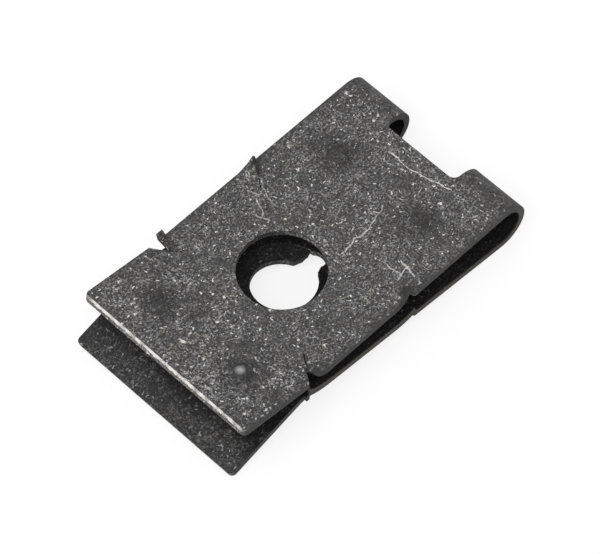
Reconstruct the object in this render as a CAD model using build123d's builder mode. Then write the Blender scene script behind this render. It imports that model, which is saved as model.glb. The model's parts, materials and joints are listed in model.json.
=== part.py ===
"""A U-shaped clip nut, folded from one strip of hardened spring steel.

The strip is doubled over into two legs that slide onto the edge of a panel. The upper leg has a
plain clearance hole for the screw. The lower leg has a keyhole whose rim is pressed into one turn
of a helix, so that it works as the thread. Slits in the long edges free small barbs.

Frame: the origin is where the screw axis meets the upper face of the upper leg. +X points to the
fold, +Z up along the screw axis. Lengths are in millimetres and angles in degrees.
"""

from build123d import *
from build123d.topology import SkipClean
from math import cos, degrees, pi, radians, sin, tan
import os

# The strip
strip_width = 16.0
sheet = 0.55

# Upper leg, measured from the screw axis
upper_reach = 11.6  # to the free end
upper_run = 14.5  # to the start of the fold
entry_start = 5.0  # where the free end begins to lift
entry_lift = 9.0  # slope of the lifted end
clearance_radius = 3.3

# Fold and lower leg
fold_radius = 2.08  # outer radius
closing_angle = 6.2  # how far the lower leg leans in past parallel
lead_start = 5.7  # where the lower leg turns down into its lead-in
lead_length = 7.35
lead_angle = 16.5  # slope of the lead-in below level
lead_width = 15.6
soft_bend = 2.5  # outer radius of the two shallow bends

# Window that leaves the fold as two straps
window_start = 14.0
window_width = 6.9
window_corner = 0.6

# Thread impression
thread_radius = 2.47
thread_pitch = 1.8
thread_centre = 0.2  # towards the fold
rim_radius = 3.6  # where the pressed rim meets the flat leg
slot_width = 1.85
slot_flare = 0.3  # widening on each side where the slot opens into the bore
slot_reach = 4.0  # rounded end of the slot, from the screw axis

# Barbs at the four slits of each leg
slit_outer = 5.6
slit_inner = 3.8
slit_depth = 2.0
slit_kerf = 0.12
barb_root = 3.1  # where the bend line meets the long edge
barb_blunting = 0.07  # share of the barb lost at its tip
barb_bend = 1.35  # radius of its curl
barb_lifts = {(-1, 1): 80.0, (1, 1): 78.0, (1, -1): 84.0, (-1, -1): 74.0}
sharp_barb = (-1, 1)  # the one that was bent back hardest
sharp_barb_bend = 0.6
sharp_barb_root = 3.6
lower_barb_bend = 5.0
lower_barb_lift = 24.0

# Grip dimples in the upper leg
near_dimple_x = -8.2
far_dimple_x = 9.7
dimple_spacing = 8.2
dimple_radius = 0.95
dimple_height = 0.32
dimple_crown = 0.2

corner_radius = 0.45
lead_corner_radius = 0.4

# Places worked out from the sizes above
half_width = strip_width / 2
entry_height = (upper_reach - entry_start) * tan(radians(entry_lift))
lean = radians(closing_angle)
fold_end_x = upper_run - fold_radius * sin(lean)
fold_end_z = -fold_radius * (1 + cos(lean))
lead_start_z = fold_end_z + (fold_end_x + lead_start) * tan(lean)
lead_end_x = -lead_start - lead_length * cos(radians(lead_angle))
lead_end_z = lead_start_z - lead_length * sin(radians(lead_angle))
heel_z = -2 * fold_radius
lower_face_z = fold_end_z + fold_end_x * tan(lean)  # outer face, on the screw axis
gap_middle = (-sheet + lower_face_z + sheet / cos(lean)) / 2

rim_opening = 0.5 * slot_width / rim_radius  # half of the gap that the slot leaves in the rim
rim_steps = 12
rim_turns = [
    rim_opening + 2 * (pi - rim_opening) * step / rim_steps for step in range(rim_steps + 1)
]
rim_seat = 0.15  # overlap of the rim with the flat leg around it
rim_seat_half = 0.48 * sheet

upper_leg = Plane(origin=(0, 0, -sheet / 2))
entry_leg = Plane(
    origin=(-entry_start, 0, 0),
    x_dir=(cos(radians(entry_lift)), 0, -sin(radians(entry_lift))),
    z_dir=(sin(radians(entry_lift)), 0, cos(radians(entry_lift))),
)
lower_leg = Plane(
    origin=(0, 0, lower_face_z + sheet / 2 / cos(lean)),
    x_dir=(cos(lean), 0, -sin(lean)),
    z_dir=(sin(lean), 0, cos(lean)),
)

dimple_seats = [
    plane.shift_origin(plane.from_local_coords((x, side * dimple_spacing / 2, 0)))
    for plane, x in ((entry_leg, near_dimple_x + entry_start), (Plane.XY, far_dimple_x))
    for side in (-1, 1)
]


def slit_corner(end, side):
    """Plan points of one barb: the slit's inner end, the bend line's outer end and the tip."""
    inner = Vector(end * slit_inner, side * (half_width - slit_depth))
    root_x = sharp_barb_root if (end, side) == sharp_barb else barb_root
    root = Vector(end * root_x, side * half_width)
    tip = Vector(end * slit_outer, side * half_width)
    return inner, root, tip


def barb_planes(leg, end, side, bend, lift):
    """Section planes along a barb that is bent up off a leg's middle surface, with their widths."""
    inner, root, tip = slit_corner(end, side)
    along = (root - inner).normalized()
    outward = tip - inner - along * (tip - inner).dot(along)
    reach = outward.length
    outward = outward.normalized()
    sections = []
    steps = 8
    for step in range(steps + 1):
        share = step / steps * (1 - barb_blunting)
        angle = min(reach * share / bend, radians(lift))
        straight = reach * share - bend * angle
        run = bend * sin(angle) + straight * cos(angle)
        rise = bend * (1 - cos(angle)) + straight * sin(angle)
        low = (tip - inner).dot(along) * share
        high = (root - inner).length * (1 - share) + (tip - inner).dot(along) * share
        middle = inner + along * ((low + high) / 2) + outward * run
        centre = leg.from_local_coords(middle + Vector(0, 0, rise))
        across = leg.from_local_coords(along) - leg.from_local_coords(Vector())
        ahead_local = outward * cos(angle) + Vector(0, 0, sin(angle))
        ahead = leg.from_local_coords(ahead_local) - leg.from_local_coords(Vector())
        sections.append((Plane(origin=centre, x_dir=across, z_dir=ahead), high - low))
    return sections


def rim_plane(turn):
    """Upright plane through the thread's axis, its x direction at a turn from the slot's middle."""
    return Plane(
        origin=(thread_centre, 0, 0),
        x_dir=(cos(turn), sin(turn), 0),
        z_dir=(sin(turn), -cos(turn), 0),
    )


def leg_height(x):
    """Height of the lower leg's middle surface at a place along it."""
    return lower_leg.origin.Z - (x - lower_leg.origin.X) * tan(lean)


with BuildPart() as clip:
    # The folded strip: its outer line is drawn once and thickened inwards.
    with BuildSketch(Plane.XZ):
        with BuildLine():
            with BuildLine(mode=Mode.PRIVATE) as outer:
                top = FilletPolyline(
                    (-upper_reach, entry_height), (-entry_start, 0), (upper_run, 0), radius=soft_bend
                )
                fold = JernArc(
                    start=top @ 1, tangent=(1, 0), radius=fold_radius, arc_size=-180 - closing_angle
                )
                FilletPolyline(
                    fold @ 1,
                    (-lead_start, lead_start_z),
                    (lead_end_x, lead_end_z),
                    radius=soft_bend,
                )
            offset(outer.line, amount=sheet, side=Side.RIGHT)
        make_face()
    extrude(amount=half_width, both=True)

    # The window through the fold
    with BuildSketch(Plane.XY.offset(heel_z)):
        with Locations((window_start, 0)):
            RectangleRounded(
                4 * fold_radius, window_width, window_corner, align=(Align.MIN, Align.CENTER)
            )
    extrude(amount=-heel_z, mode=Mode.SUBTRACT)

    # The lead-in is a little narrower than the rest of the strip.
    with BuildSketch(Plane.XY.offset(gap_middle)):
        for side in (-1, 1):
            with Locations((-slit_outer, side * lead_width / 2)):
                align_y = Align.MIN if side > 0 else Align.MAX
                Rectangle(2 * lead_length, half_width, align=(Align.MAX, align_y))
    extrude(amount=2 * heel_z, mode=Mode.SUBTRACT)

    # Rounded corners of the two free ends
    lead_end = clip.faces().sort_by(Axis.X)[0]
    fillet(lead_end.edges().filter_by(Axis.Y, reverse=True), lead_corner_radius)
    entry_end = clip.faces().filter_by(GeomType.PLANE).sort_by(
        lambda face: (face.center() - Vector(-upper_reach, 0, entry_height)).length
    )[0]
    fillet(entry_end.edges().filter_by(Axis.Y, reverse=True), corner_radius)

    # Clearance hole
    with BuildSketch(Plane.XY):
        Circle(clearance_radius)
    extrude(amount=gap_middle, mode=Mode.SUBTRACT)

    # Barbs: the corner beside each slit is cut out flat and replaced by its curled form.
    for leg in (upper_leg, lower_leg):
        with BuildSketch(leg):
            for end in (-1, 1):
                for side in (-1, 1):
                    inner, root, tip = slit_corner(end, side)
                    margin = Vector(0, side * sheet)
                    kerf = Vector(end * slit_kerf, 0)
                    with BuildLine():
                        Polyline(
                            inner, root, root + margin, tip + kerf + margin, inner + kerf, close=True
                        )
                    make_face()
        extrude(amount=sheet, both=True, mode=Mode.SUBTRACT)
    for (end, side), lift in barb_lifts.items():
        bend = sharp_barb_bend if (end, side) == sharp_barb else barb_bend
        for plane, breadth in barb_planes(upper_leg, end, side, bend, lift):
            with BuildSketch(plane):
                Rectangle(breadth, sheet)
        loft()
        for plane, breadth in barb_planes(lower_leg, end, side, lower_barb_bend, lower_barb_lift):
            with BuildSketch(plane):
                Rectangle(breadth, sheet)
        loft()

    # Thread impression: a round opening, filled by a rim that climbs one pitch per turn.
    with BuildSketch(Plane.XY.offset(gap_middle)):
        with Locations((thread_centre, 0)):
            Circle(rim_radius)
    extrude(amount=heel_z, mode=Mode.SUBTRACT)
    for turn in rim_turns:
        climb = thread_pitch * (turn / (2 * pi) - 0.5)
        root_radius = rim_radius + rim_seat
        root_height = leg_height(thread_centre + root_radius * cos(turn))
        edge_radius = thread_radius - rim_seat
        edge_height = leg_height(thread_centre + edge_radius * cos(turn)) + climb
        with BuildSketch(rim_plane(turn)):
            with BuildLine():
                Polyline(
                    (root_radius, root_height - rim_seat_half),
                    (root_radius, root_height + rim_seat_half),
                    (edge_radius, edge_height + sheet / 2),
                    (edge_radius, edge_height - sheet / 2),
                    close=True,
                )
            make_face()
    loft()
    with BuildSketch(Plane.XY.offset(gap_middle)):
        with Locations((slot_reach, 0)):
            SlotOverall(slot_reach + slot_width / 2, slot_width, align=(Align.MAX, Align.CENTER))
        mouth = slot_width / 2 + slot_flare
        neck_x = thread_centre + thread_radius + slot_flare
        with BuildLine():
            Polyline(
                (thread_centre, mouth),
                (neck_x - 2 * slot_flare, mouth),
                (neck_x, slot_width / 2),
                (neck_x, -slot_width / 2),
                (neck_x - 2 * slot_flare, -mouth),
                (thread_centre, -mouth),
                close=True,
            )
        make_face()
    extrude(amount=heel_z, mode=Mode.SUBTRACT)

    # Grip dimples: domes pressed up out of the upper leg, hollow beneath.
    for mode in (Mode.ADD, Mode.SUBTRACT):
        for seat in dimple_seats:
            base = seat if mode == Mode.ADD else seat.offset(-sheet)
            with BuildSketch(Plane(origin=base.origin, x_dir=base.x_dir, z_dir=-base.y_dir)):
                with BuildLine():
                    crown = Line((0, dimple_height), (dimple_crown, dimple_height))
                    slope = TangentArc(crown @ 1, (dimple_radius, 0), tangent=(1, 0))
                    Polyline(slope @ 1, (dimple_radius, -sheet / 4), (0, -sheet / 4), crown @ 0)
                make_face()
            revolve(axis=Axis(base.origin, base.z_dir), mode=mode)

    # Bore of the thread, cut sector by sector: each face of its wall follows the climbing rim.
    for first, last in zip(rim_turns, rim_turns[1:]):
        with BuildSketch(Plane.XY.offset(gap_middle)):
            with BuildLine():
                wall = CenterArc(
                    (thread_centre, 0), thread_radius, degrees(first), degrees(last - first)
                )
                Polyline(wall @ 1, (thread_centre, 0), wall @ 0)
            make_face()
        with SkipClean():
            extrude(amount=heel_z, mode=Mode.SUBTRACT, clean=False)

clip.part.label = "clip"
os.makedirs("parts", exist_ok=True)
export_step(clip.part, "parts/clip.step")
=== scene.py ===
"""Studio picture of the folded clip nut: black phosphated spring steel on a pale floor."""

import json
from math import cos, radians, sin

import bpy
from mathutils import Matrix, Vector


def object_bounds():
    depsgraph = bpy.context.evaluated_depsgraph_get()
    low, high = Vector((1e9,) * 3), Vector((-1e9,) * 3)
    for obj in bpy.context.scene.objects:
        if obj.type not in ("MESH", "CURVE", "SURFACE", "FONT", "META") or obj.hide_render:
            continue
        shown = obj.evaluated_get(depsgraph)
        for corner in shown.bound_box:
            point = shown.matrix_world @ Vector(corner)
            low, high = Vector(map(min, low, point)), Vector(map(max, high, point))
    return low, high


MM = 0.001

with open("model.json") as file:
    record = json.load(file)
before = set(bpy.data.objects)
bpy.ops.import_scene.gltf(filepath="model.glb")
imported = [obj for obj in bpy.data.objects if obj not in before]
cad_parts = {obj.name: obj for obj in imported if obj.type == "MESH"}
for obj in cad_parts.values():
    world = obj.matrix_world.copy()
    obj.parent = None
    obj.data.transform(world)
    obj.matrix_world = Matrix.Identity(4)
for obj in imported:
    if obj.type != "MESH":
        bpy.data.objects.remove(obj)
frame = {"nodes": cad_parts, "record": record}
cad_low, cad_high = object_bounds()
clip = frame["nodes"]["clip"]
scene = bpy.context.scene


# Small helpers for shader trees

class Tree:
    """Makes and links the nodes of one material."""

    def __init__(self, name):
        self.material = bpy.data.materials.new(name)
        self.material.use_nodes = True
        self.nodes = self.material.node_tree.nodes
        self.links = self.material.node_tree.links
        self.nodes.clear()

    def add(self, kind, inputs=None, **settings):
        node = self.nodes.new(kind)
        for key, value in settings.items():
            setattr(node, key, value)
        for key, value in (inputs or {}).items():
            self.put(node.inputs[key], value)
        return node

    def put(self, socket, value):
        if isinstance(value, bpy.types.NodeSocket):
            self.links.new(value, socket)
        else:
            socket.default_value = value

    def math(self, operation, first, second=0.0, clamp=False):
        node = self.add("ShaderNodeMath", operation=operation, use_clamp=clamp)
        self.put(node.inputs[0], first)
        self.put(node.inputs[1], second)
        return node.outputs[0]

    def vector(self, operation, first, second, output="Vector"):
        node = self.add("ShaderNodeVectorMath", {0: first, 1: second}, operation=operation)
        return node.outputs[output]

    def ramp(self, value, low, high, to_low=0.0, to_high=1.0):
        node = self.add("ShaderNodeMapRange", clamp=True)
        for key, entry in zip((0, 1, 2, 3, 4), (value, low, high, to_low, to_high)):
            self.put(node.inputs[key], entry)
        return node.outputs[0]

    def mix(self, share, first, second):
        node = self.add("ShaderNodeMix", data_type="RGBA")
        self.put(node.inputs["Factor"], share)
        self.put(node.inputs["A"], first)
        self.put(node.inputs["B"], second)
        return node.outputs["Result"]

    def noise(self, place, scale, detail=3.0, roughness=0.55, distortion=0.0):
        node = self.add("ShaderNodeTexNoise", {
            "Vector": place, "Scale": scale, "Detail": detail,
            "Roughness": roughness, "Distortion": distortion,
        })
        return node.outputs[0]


# Bright rubbed strokes on the upper leg, given in half millimetres and steps of 15 degrees:
# start x, start y, heading, length, strength
STROKES = (
    (12.5, 1.5, -90, 2.5, 0.9),
    (12.5, -1.0, -75, 3.0, 0.9),
    (4.0, -2.0, 0, 2.5, 0.8),
    (6.5, -2.0, 15, 2.5, 0.6),
    (4.0, 6.0, -105, 2.0, 0.45),
    (3.0, 6.5, -75, 1.0, 0.6),
    (3.0, 5.5, -120, 1.5, 0.6),
    (2.0, 4.5, -75, 1.0, 0.5),
    (5.5, -4.5, -90, 1.5, 0.8),
    (5.0, -6.5, 15, 1.5, 0.8),
    (6.5, -5.5, -105, 1.5, 0.7),
    (12.5, -6.5, -30, 0.5, 0.6),
    (7.0, 1.0, -150, 1.5, 0.4),
    (-6.0, -2.0, 150, 1.5, 0.35),
)
STROKE_WIDTH = 0.045


def scratch_marks(tree, place):
    """Worn strokes that wander a little and break up; 1 on a stroke and 0 away from it."""
    flat = tree.vector("MULTIPLY", place, (1, 1, 0))
    shake = tree.add("ShaderNodeTexNoise", {"Vector": flat, "Scale": 0.9, "Detail": 3.0})
    shift = tree.vector("SUBTRACT", shake.outputs["Color"], (0.5, 0.5, 0.5))
    spot = tree.vector("ADD", flat, tree.vector("MULTIPLY", shift, (0.7, 0.7, 0)))
    total = 0.0
    for start_x, start_y, heading, length, strength in STROKES:
        run = Vector((cos(radians(heading)), sin(radians(heading)), 0)) * length
        start = Vector((start_x, start_y, 0))
        offset = tree.vector("SUBTRACT", spot, start)
        share = tree.vector("DOT_PRODUCT", offset, run, "Value")
        share = tree.math("DIVIDE", share, run.length_squared, clamp=True)
        foot = tree.add("ShaderNodeVectorMath", {0: run, "Scale": share}, operation="SCALE")
        gap = tree.vector("DISTANCE", offset, foot.outputs[0], "Value")
        line = tree.ramp(gap, 0.4 * STROKE_WIDTH, 1.3 * STROKE_WIDTH, strength, 0.0)
        total = tree.math("MAXIMUM", line, total)
    breaks = tree.ramp(tree.noise(place, 5.0, 2.0), 0.38, 0.55, 0.35, 1.0)
    return tree.math("MULTIPLY", total, breaks)


def phosphate():
    """Black phosphate on steel: matt, dusted with pale crystals, rubbed bright at the sheared end;
    painted shade between and under the legs, on faces turned sideways and round the dimples, and a
    painted highlight on one dimple crown.
    """
    tree = Tree("black_phosphate")
    source = tree.add("ShaderNodeTexCoord")
    place = tree.add(
        "ShaderNodeVectorMath", {0: source.outputs["Object"], "Scale": 1 / MM}, operation="SCALE"
    ).outputs[0]
    spot = tree.add("ShaderNodeSeparateXYZ", {0: place})
    x, y, z = spot.outputs
    facing = tree.add("ShaderNodeSeparateXYZ", {0: source.outputs["Normal"]})
    upward = tree.ramp(facing.outputs[2], 0.45, 0.9)
    on_top = tree.math("MULTIPLY", upward, tree.ramp(z, -0.25, -0.05))
    breadth = tree.math("ABSOLUTE", y)
    level = tree.ramp(tree.math("ABSOLUTE", facing.outputs[1]), 0.45, 0.9, 1.0, 0.0)
    # Which way a face looks from the middle of the gap: below 0 is between the legs.
    rise = tree.math("SUBTRACT", z, tree.ramp(x, -12.0, 14.4, -0.65, -2.08))
    ahead = tree.math("MAXIMUM", tree.math("SUBTRACT", x, 14.4), 0.0)
    outward = tree.math(
        "ADD",
        tree.math("MULTIPLY", rise, facing.outputs[2]),
        tree.math("MULTIPLY", ahead, facing.outputs[0]),
    )
    inward = tree.ramp(outward, -0.2, 0.0, 1.0, 0.0)
    inside = tree.math("MULTIPLY", inward, tree.ramp(x, -11.8, -10.2))
    inside = tree.math("MULTIPLY", inside, tree.ramp(breadth, 7.90, 7.99, 1.0, 0.0))
    # Faces in the lower half of the gap, under the upper leg, used for painted shade.
    shade_under_leg = tree.math("MULTIPLY", tree.ramp(z, -1.2, -0.6, 1.0, 0.0), inward)

    # Crystals: fine grains and short curls, thick in clouds and thin between them
    clouds = tree.ramp(tree.noise(place, 0.42, 3.0, 0.6), 0.36, 0.66)
    patches = tree.ramp(tree.noise(place, 1.5, 3.0, 0.6), 0.34, 0.64)
    crowd = tree.math(
        "MULTIPLY",
        tree.ramp(clouds, 0.0, 1.0, 0.32, 1.0),
        tree.ramp(patches, 0.0, 1.0, 0.28, 1.0),
    )
    grains = tree.ramp(tree.noise(place, 6.0, 2.0, 0.75), 0.49, 0.66)
    specks = tree.ramp(tree.noise(place, 3.6, 1.0, 0.5, 0.6), 0.66, 0.72)
    curl = tree.math("ABSOLUTE", tree.math("SUBTRACT", tree.noise(place, 3.0, 2.0, 0.6, 0.8), 0.5))
    curls = tree.math(
        "MULTIPLY",
        tree.ramp(curl, 0.008, 0.035, 1.0, 0.0),
        tree.ramp(tree.noise(place, 2.2), 0.46, 0.58),
    )
    dust = tree.math("MAXIMUM", tree.math("MULTIPLY", grains, 0.66), tree.math("MULTIPLY", curls, 0.72))
    dust = tree.math("MULTIPLY", dust, crowd)
    dust = tree.math("MAXIMUM", dust, tree.math("MULTIPLY", specks, 0.95))
    # Fewer pale crystals under the upper leg, between the legs and on faces turned sideways: painted
    # shade.
    thin = tree.ramp(shade_under_leg, 0.0, 1.0, 1.0, 0.38)
    thin = tree.math("MULTIPLY", thin, tree.ramp(level, 0.0, 1.0, 0.22, 1.0))
    thin = tree.math("MULTIPLY", thin, tree.ramp(inside, 0.0, 1.0, 1.0, 0.3))
    # The long edges and the fold are rubbed clean of crystals.
    thin = tree.math("MULTIPLY", thin, tree.ramp(breadth, 7.3, 8.0, 1.0, 0.35))
    thin = tree.math("MULTIPLY", thin, tree.ramp(x, 14.0, 15.8, 1.0, 0.3))
    dust = tree.math("MULTIPLY", dust, thin)

    # Ground: near black, a little brown or olive in places; painted shade darkens it between the legs,
    # under the upper leg and on faces turned sideways
    tint = tree.ramp(tree.noise(place, 0.28, 2.0), 0.42, 0.62)
    ground = tree.mix(tint, (0.022, 0.0215, 0.023, 1), (0.027, 0.0255, 0.0235, 1))
    mottle = tree.ramp(tree.noise(place, 2.4, 4.0, 0.7), 0.35, 0.7)
    ground = tree.mix(tree.math("MULTIPLY", mottle, 0.5), ground, (0.075, 0.073, 0.073, 1))
    # Painted shade: near black between the legs, and darker on faces turned sideways.
    painted_shade = tree.math("MAXIMUM", tree.math("MULTIPLY", inside, 0.9), tree.ramp(level, 0.0, 1.0, 0.5, 0.0))
    ground = tree.mix(painted_shade, ground, (0.004, 0.004, 0.004, 1))
    flank = tree.math("MULTIPLY", tree.ramp(breadth, 7.90, 7.99), tree.ramp(z, -1.2, -0.8, 1.0, 0.0))
    # Painted shade on the faces under the upper leg.
    ground = tree.mix(tree.math("MULTIPLY", shade_under_leg, 0.75), ground, (0.008, 0.008, 0.009, 1))
    ground = tree.mix(tree.math("MULTIPLY", flank, 0.6), ground, (0.040, 0.037, 0.027, 1))
    warm = tree.ramp(tree.noise(place, 1.1, 2.0), 0.45, 0.62)
    pale = tree.mix(warm, (0.62, 0.62, 0.63, 1), (0.62, 0.60, 0.55, 1))
    colour = tree.mix(dust, ground, pale)

    # Round the dimples a ring of painted shade darkens the coating; on one crown a pale spot, part
    # painted highlight and part rubbed bright.
    dimples = ((-8.2, 4.1), (-8.2, -4.1), (9.7, 4.1), (9.7, -4.1))
    for centre_x, centre_y in dimples:
        away = tree.vector("DISTANCE", place, (centre_x, centre_y, 0.3), "Value")
        dimple_shade = tree.math("MULTIPLY", tree.ramp(away, 0.6, 2.1, 0.72, 0.0), on_top)
        colour = tree.mix(dimple_shade, colour, (0.016, 0.0155, 0.0155, 1))
    # Pale spot on this crown: painted highlight, partly rubbed bright.
    highlight_and_wear_crown = tree.vector("DISTANCE", place, (-8.2, -4.1, 0.8), "Value")
    colour = tree.mix(tree.ramp(highlight_and_wear_crown, 0.05, 0.45, 0.75, 0.0), colour, (0.42, 0.42, 0.43, 1))

    marks = tree.math("MULTIPLY", scratch_marks(tree, place), on_top)
    colour = tree.mix(marks, colour, (0.62, 0.62, 0.60, 1))

    # The free end of the upper leg shows bare sheared steel.
    end = tree.math("MULTIPLY", tree.ramp(x, -11.50, -11.46, 1.0, 0.0), tree.ramp(z, 0.42, 0.5))
    end = tree.math("MULTIPLY", end, tree.ramp(breadth, 7.3, 7.8, 1.0, 0.2))
    ragged = tree.math("ADD", z, tree.math("MULTIPLY", tree.noise(place, 2.6, 3.0, 0.7), 0.5))
    bare = tree.math("MULTIPLY", end, tree.ramp(ragged, 1.08, 1.18, 0.05, 0.95))
    bare = tree.math("MULTIPLY", bare, tree.ramp(tree.noise(place, 1.8, 3.0, 0.7), 0.36, 0.56, 0.35, 1.0))
    colour = tree.mix(bare, colour, (0.74, 0.73, 0.70, 1))

    bright = tree.math("MAXIMUM", marks, bare)
    shader = tree.add("ShaderNodeBsdfPrincipled", {
        "Base Color": colour, "Metallic": 0.1,
        "Specular IOR Level": tree.ramp(inside, 0.0, 1.0, 0.28, 0.08),
        "Roughness": tree.ramp(bright, 0.0, 1.0, 0.62, 0.42),
    })
    relief = tree.math("ADD", dust, tree.noise(place, 5.0, 3.0, 0.7))
    bump = tree.add("ShaderNodeBump", {"Height": relief, "Strength": 0.35, "Distance": 0.00004})
    tree.put(shader.inputs["Normal"], bump.outputs[0])
    output = tree.add("ShaderNodeOutputMaterial")
    tree.put(output.inputs[0], shader.outputs[0])
    return tree.material


def studio_white():
    """A matt pale floor, mostly white to the camera, that holds the soft shadow; clear from below."""
    tree = Tree("floor_white")
    matt = tree.add("ShaderNodeBsdfDiffuse", {"Color": (0.9, 0.9, 0.9, 1)})
    plain = tree.add("ShaderNodeEmission", {"Color": (1, 1, 1, 1), "Strength": 1.0})
    seen = tree.add("ShaderNodeLightPath").outputs["Is Camera Ray"]
    blend = tree.add("ShaderNodeMixShader", {
        0: tree.math("MULTIPLY", seen, 0.8), 1: matt.outputs[0], 2: plain.outputs[0],
    })
    behind = tree.add("ShaderNodeNewGeometry").outputs["Backfacing"]
    clear = tree.add("ShaderNodeBsdfTransparent")
    one_sided = tree.add("ShaderNodeMixShader", {0: behind, 1: blend.outputs[0], 2: clear.outputs[0]})
    output = tree.add("ShaderNodeOutputMaterial")
    tree.put(output.inputs[0], one_sided.outputs[0])
    return tree.material


def make_floor():
    bpy.ops.mesh.primitive_plane_add(size=4.0, location=(0, 0, cad_low[2]))
    floor = bpy.context.object
    floor.name = "floor"
    floor.data.materials.append(studio_white())


def make_world():
    world = bpy.data.worlds.new("studio")
    scene.world = world
    world.use_nodes = True
    nodes = world.node_tree.nodes
    links = world.node_tree.links
    nodes.clear()
    soft = nodes.new("ShaderNodeBackground")
    soft.inputs["Color"].default_value = (1, 1, 1, 1)
    soft.inputs["Strength"].default_value = 0.8
    output = nodes.new("ShaderNodeOutputWorld")
    links.new(soft.outputs[0], output.inputs[0])


def make_lamp(name, azimuth, elevation, distance, size, power):
    lamp = bpy.data.lights.new(name, "AREA")
    lamp.energy = power
    lamp.size = size
    body = bpy.data.objects.new(name, lamp)
    scene.collection.objects.link(body)
    side = radians(azimuth)
    rise = radians(elevation)
    away = Vector((sin(side) * cos(rise), -cos(side) * cos(rise), sin(rise)))
    body.location = away * distance
    body.rotation_euler = (-away).to_track_quat("-Z", "Y").to_euler()


def make_camera():
    """A long lens looking down on the clip from beyond its free end."""
    azimuth = radians(-44.6)
    elevation = radians(57.8)
    roll = radians(-0.73)
    distance = 0.2975
    hole = next(m for m in frame["record"]["mounts"] if m["name"] == "clearance_hole")
    aim = Vector(hole["pos_m"]) + Vector((1.16, -0.63, -1.56)) * MM
    look = Vector((-sin(azimuth) * cos(elevation), cos(azimuth) * cos(elevation), -sin(elevation)))
    level = Vector((cos(azimuth), sin(azimuth), 0))
    upright = level.cross(look)
    right = level * cos(roll) + upright * sin(roll)
    up = upright * cos(roll) - level * sin(roll)
    data = bpy.data.cameras.new("camera")
    data.sensor_width = 36.0
    data.lens = 251.7
    data.clip_start = 0.01
    camera = bpy.data.objects.new("camera", data)
    scene.collection.objects.link(camera)
    turn = Matrix((right, up, -look)).transposed().to_4x4()
    camera.matrix_world = Matrix.Translation(aim - look * distance) @ turn
    scene.camera = camera


def main():
    clip.data.materials.clear()
    clip.data.materials.append(phosphate())
    make_floor()
    make_world()
    make_lamp("key", -75, 60, 0.5, 0.35, 1.5)
    make_camera()
    scene.view_settings.view_transform = "Standard"


main()
